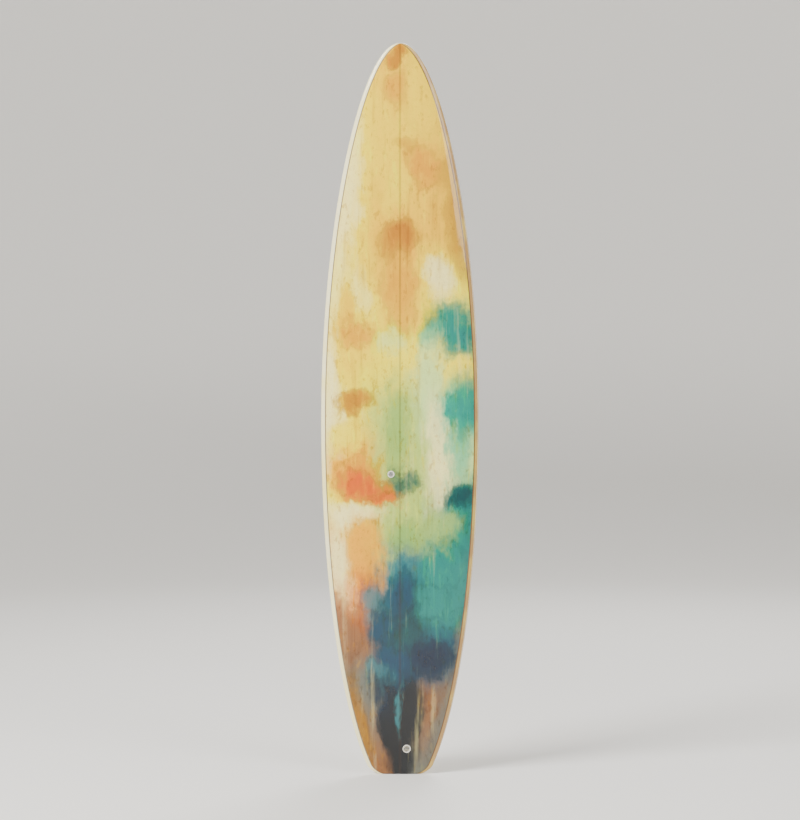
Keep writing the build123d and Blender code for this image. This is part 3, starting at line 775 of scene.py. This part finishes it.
def bottom_material():
    """Cream resin over the foam, with the laps wrapped in from the rails and the stringer showing."""
    made, tree, shader, spot = material("bottom_glass")
    plan = plan_of(tree, spot)
    edge, middle = plan["edge"], plan["off_centre"]
    cloud = noise(tree, spot, 5.0, 5.0, 0.6)
    shade = mix(tree, spread(tree, cloud, 0.3, 0.7), colour("efe3c6"), colour("e3d2ab"))
    wave = calc(tree, "MULTIPLY_ADD", noise(tree, spot, 3.0, 2.0), LAP_WAVE, -LAP_WAVE / 2)
    lap = spread(tree, calc(tree, "ADD", edge, wave), LAP, LAP_FADED, 0.0, 0.75)
    shade = mix(tree, lap, shade, colour("d9bd85"))
    shade = mix(tree, near(tree, edge, LAP, PINLINE_HALF, 0.0005, strength=0.85), shade, BROWN)
    grain = noise(tree, stretched(tree, spot, (1800, 1, 24)), 1.0, 4.0, 0.6)
    wood = mix(tree, spread(tree, grain, 0.35, 0.7), colour("c79b63"), colour("8f6437"))
    shade = mix(tree, near(tree, middle, 0.0, 0.0029, 0.0003, strength=0.9), shade, wood)
    glue = near(tree, middle, GLUE_PLACE, GLUE_HALF, 0.0003, strength=0.7)
    shade = mix(tree, glue, shade, BROWN)
    threads = weave(tree, spot, THREAD_PITCH)
    shade = mix(tree, calc(tree, "MULTIPLY", threads, 0.08), shade, colour("cfc09a"), "MULTIPLY")
    specks = spread(tree, noise(tree, spot, 900.0, 1.0), 0.70, 0.74, 0.0, 0.25)
    shade = mix(tree, specks, shade, TAUPE)
    plug(tree, shader.inputs["Base Color"], shade)
    polish(tree, shader, spot)
    bump(tree, shader, threads, 0.00005, 0.3)
    return made


def cut_material():
    """Sanded edge of the laminate round a fitting."""
    made, tree, shader, spot = material("laminate_edge")
    shade = mix(tree, noise(tree, spot, 800.0), colour("8a7a5c"), colour("b3a27e"))
    surface(tree, shader, shade, 0.7)
    bump(tree, shader, noise(tree, spot, 2500.0), 0.0001, 0.6)
    return made


def finish_skin(skin):
    """Exact normals on the outer skin, and the material of each face.

    A face is on the outer skin where it faces as the skin does at each of its corners. The flat ends
    keep their own normals, and the faces round an end are never taken for a cut edge.
    """
    agree, end_zone, on_end = 0.8, 0.006, 1e-6
    deck, bottom, cut_edge = 0, 1, 2
    mesh = skin.data
    for made in (deck_material(), bottom_material(), cut_material()):
        mesh.materials.append(made)
    normals = [skin_normal(*v.co) for v in mesh.vertices]
    loops = [None] * len(mesh.loops)
    for face in mesh.polygons:
        face.use_smooth = True
        z = min(max(face.center.z, 0.0), LENGTH)
        outer = all(normals[v].dot(face.normal) > agree for v in face.vertices)
        ends = face.center.z < on_end or face.center.z > LENGTH - on_end
        rim = any(abs(face.center.z - end) < end_zone for end in (0, LENGTH))
        face.material_index = deck if face.center.y < rail_y(z) else bottom
        if not outer and not rim:
            face.material_index = cut_edge
        for i in face.loop_indices:
            vertex = mesh.loops[i].vertex_index
            loops[i] = normals[vertex] if outer and not ends else face.normal.copy()
    mesh.normals_split_custom_set(loops)
    return skin


# ---------------------------------------------------------------- materials of the fittings
def fin_material(name, middle, side):
    """Solid fibreglass lay-up, sanded so that its cloth layers show as contour lines, and polished.

    middle is a point on the fin's middle plane and side is that plane's normal.
    """
    made, tree, shader, spot = material(name)
    threads = weave(tree, spot, FIN_THREAD_PITCH)
    cloud = noise(tree, spot, 24.0, 4.0, 0.6)
    shade = mix(tree, spread(tree, cloud, 0.3, 0.7), colour("0c4a4e"), colour("1a6c6b"))
    reach = add(tree, "ShaderNodeVectorMath", {"operation": "SUBTRACT"}, Vector=spot)
    reach.inputs[1].default_value = middle
    away = add(tree, "ShaderNodeVectorMath", {"operation": "DOT_PRODUCT"}, Vector=reach.outputs[0])
    away.inputs[1].default_value = side
    deep = calc(tree, "MULTIPLY", calc(tree, "ABSOLUTE", away.outputs["Value"]), 2 * pi / FIN_LAYER)
    layers = calc(tree, "SINE", calc(tree, "ADD", deep, calc(tree, "MULTIPLY", cloud, 7.0)))
    shade = mix(tree, spread(tree, layers, 0.4, 1.0, 0.0, 0.40), shade, colour("74b3a4"))
    shade = mix(tree, calc(tree, "MULTIPLY", threads, 0.22), shade, colour("8fc2b6"))
    surface(tree, shader, shade, spread(tree, cloud, 0.3, 0.7, 0.28, 0.42))
    shader.inputs["Coat Weight"].default_value = 0.8
    shader.inputs["Coat Roughness"].default_value = 0.08
    bump(tree, shader, threads, 0.00006, 0.4)
    return made


def moulded_material(name, light, dark, rough):
    """Moulded plastic with a fine spark-eroded grain and faint flow marks."""
    made, tree, shader, spot = material(name)
    cloud = noise(tree, stretched(tree, spot, (40, 40, 12)), 1.0, 4.0, 0.6)
    shade = mix(tree, spread(tree, cloud, 0.3, 0.7), colour(light), colour(dark))
    patchy = spread(tree, noise(tree, spot, 300.0), 0.3, 0.7, rough - 0.07, rough + 0.08)
    surface(tree, shader, shade, patchy)
    bump(tree, shader, noise(tree, spot, 3200.0, 2.0), 0.00006, 0.5)
    return made


def steel_material():
    """Stainless steel with turning marks and small scratches."""
    made, tree, shader, spot = material("stainless")
    marks = noise(tree, stretched(tree, spot, (300, 4000, 300)), 1.0, 3.0, 0.7)
    shade = mix(tree, marks, colour("8f9090"), colour("c9c8c4"))
    surface(tree, shader, shade, spread(tree, marks, 0.3, 0.7, 0.20, 0.42))
    shader.inputs["Metallic"].default_value = 1.0
    bump(tree, shader, marks, 0.00002, 0.5)
    return made


def brass_material():
    """Turned brass, a little dulled."""
    made, tree, shader, spot = material("brass_pin")
    dull = noise(tree, spot, 500.0, 4.0, 0.7)
    shade = mix(tree, spread(tree, dull, 0.35, 0.7), colour("c9a14f"), colour("8a6a35"))
    surface(tree, shader, shade, spread(tree, dull, 0.3, 0.7, 0.25, 0.5))
    shader.inputs["Metallic"].default_value = 1.0
    bump(tree, shader, dull, 0.00003, 0.4)
    return made


def rubber_material():
    """Black rubber with a matt bloom."""
    made, tree, shader, spot = material("seal_rubber")
    bloom = noise(tree, spot, 700.0, 4.0, 0.7)
    shade = mix(tree, bloom, colour("101010"), colour("2a2a28"))
    surface(tree, shader, shade, spread(tree, bloom, 0.3, 0.7, 0.55, 0.8))
    bump(tree, shader, bloom, 0.00004, 0.5)
    return made


def foam_material():
    """Cut polystyrene foam: cream beads with thin dark seams between them."""
    made, tree, shader, spot = material("foam_core")
    beads_a_metre = 330.0
    beads = add(tree, "ShaderNodeTexVoronoi", {"feature": "DISTANCE_TO_EDGE"}, Vector=spot)
    beads.inputs["Scale"].default_value = beads_a_metre
    seam = spread(tree, beads.outputs["Distance"], 0.0, 0.12)
    surface(tree, shader, mix(tree, seam, colour("d9cfb4"), colour("f4eedd")), 0.85)
    bump(tree, shader, seam, 0.0003, 0.6)
    return made


def wood_material():
    """Light stringer wood with the grain along the board."""
    made, tree, shader, spot = material("stringer_wood")
    grain = noise(tree, stretched(tree, spot, (400, 160, 5)), 1.0, 5.0, 0.65, 0.6)
    shade = mix(tree, spread(tree, grain, 0.3, 0.72), colour("d3ad78"), colour("8f6338"))
    surface(tree, shader, shade, spread(tree, grain, 0.3, 0.7, 0.5, 0.7))
    bump(tree, shader, grain, 0.0002, 0.4)
    return made


def dress_frame():
    """Gives every CAD node that stays its material."""
    plastic = moulded_material("box_plastic", "efe9d8", "dcd3bb", 0.42)
    cup = moulded_material("cup_plastic", "f2eee2", "ded8c8", 0.30)
    steel = steel_material()
    foam = foam_material()
    center_place = joint("fin_screw_turn")["pos_m"]
    side_fins = {}
    for side in ("left", "right"):
        place = joint(f"side_screw_{side}_turn")["pos_m"]
        side_fins[side] = fin_material(f"fin_fibreglass_{side}", place, side_seat(side).col[1])
    dress = {
        "foam_left": foam,
        "foam_right": foam,
        "stringer": wood_material(),
        "deck_inlay": cloth_material(),
        "center_fin_box": plastic,
        "side_box_left": plastic,
        "side_box_right": plastic,
        "center_fin": fin_material("fin_fibreglass", center_place, CENTER_TURN.col[1]),
        "side_fin_left": side_fins["left"],
        "side_fin_right": side_fins["right"],
        "fin_cross_pin": brass_material(),
        "fin_plate": steel,
        "fin_screw": steel,
        "side_screw_left": steel,
        "side_screw_right": steel,
        "leash_cup": cup,
        "leash_bar": steel,
        "vent_housing": cup,
        "vent_screw": steel,
        "vent_seal": rubber_material(),
    }
    for node, made in dress.items():
        for slot in frame["nodes"][node].material_slots:
            slot.link = "OBJECT"
            slot.material = made


# ---------------------------------------------------------------- stage, light and camera
def build_stage():
    """Pale round floor that curves up into a backdrop on every side."""
    flat, bend, height = 8.0, 8.0, 11.0  # reach of the flat floor, radius of the bend, top of the wall
    turns, bend_steps = 96, 24
    profile = [(0.6, 0.0), (3.0, 0.0), (flat, 0.0)]
    for k in range(1, bend_steps + 1):
        a = k / bend_steps * pi / 2
        profile.append((flat + bend * sin(a), bend - bend * cos(a)))
    profile.append((flat + bend, height))
    bm = bmesh.new()
    rings = []
    for reach, rise in profile:
        ring = [2 * pi * k / turns for k in range(turns)]
        rings.append([bm.verts.new((reach * cos(a), reach * sin(a), rise)) for a in ring])
    bm.faces.new(rings[0])
    for low, high in zip(rings, rings[1:]):
        for k in range(turns):
            n = (k + 1) % turns
            bm.faces.new((low[k], high[k], high[n], low[n]))
    mesh = bpy.data.meshes.new("floor")
    bm.to_mesh(mesh)
    bm.free()
    for face in mesh.polygons:
        face.use_smooth = True
    floor = bpy.data.objects.new("floor", mesh)
    bpy.context.scene.collection.objects.link(floor)
    made, tree, shader, spot = material("floor")
    pale = colour("f1eee8")
    surface(tree, shader, pale, 0.8)
    # the wall glows a little, so that floor and wall read as one sheet
    glow, full_glow_height = 0.26, 2.5
    rise = add(tree, "ShaderNodeSeparateXYZ", Vector=spot).outputs["Z"]
    shader.inputs["Emission Color"].default_value = pale
    plug(tree, shader.inputs["Emission Strength"], spread(tree, rise, 0.0, full_glow_height, 0.0, glow))
    mesh.materials.append(made)


def add_light(name, place, aim, size, power):
    """Soft rectangular light, its size in metres and its power in watts."""
    data = bpy.data.lights.new(name, "AREA")
    data.shape = "RECTANGLE"
    data.size, data.size_y = size
    data.energy = power
    light = bpy.data.objects.new(name, data)
    light.location = place
    light.rotation_euler = (Vector(aim) - Vector(place)).to_track_quat("-Z", "Y").to_euler()
    bpy.context.scene.collection.objects.link(light)


def build_lights():
    """Key from the upper left, a wide fill from the right, one from behind, and a soft sky."""
    add_light("key", (-5.2, -3.9, 6.4), (0, 0, 1.3), (3.2, 4.2), 1120)
    add_light("fill", (5.2, -4.7, 4.6), (0, 0, 1.3), (3.6, 4.2), 280)
    add_light("back", (2.0, 6.0, 6.6), (0, 0, 1.4), (3.4, 3.0), 420)
    world = bpy.data.worlds.new("sky")
    world.use_nodes = True
    sky = world.node_tree.nodes["Background"]
    sky.inputs["Color"].default_value = (0.95, 0.97, 1.0, 1.0)
    sky.inputs["Strength"].default_value = 0.34
    bpy.context.scene.world = world


def build_camera():
    """Camera square to the deck, level with its middle."""
    distance = 7.3
    data = bpy.data.cameras.new("camera")
    data.lens, data.sensor_width = 85, 36
    camera = bpy.data.objects.new("camera", data)
    camera.location = (0.0, -distance, LENGTH / 2)
    camera.rotation_euler = (pi / 2, 0, 0)
    bpy.context.scene.collection.objects.link(camera)
    bpy.context.scene.camera = camera


def build():
    """The whole scene around the frame."""
    skin = finish_skin(build_skin())
    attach(skin, "board")
    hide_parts("glass_skin")
    dress_frame()
    build_stage()
    build_lights()
    build_camera()


build()
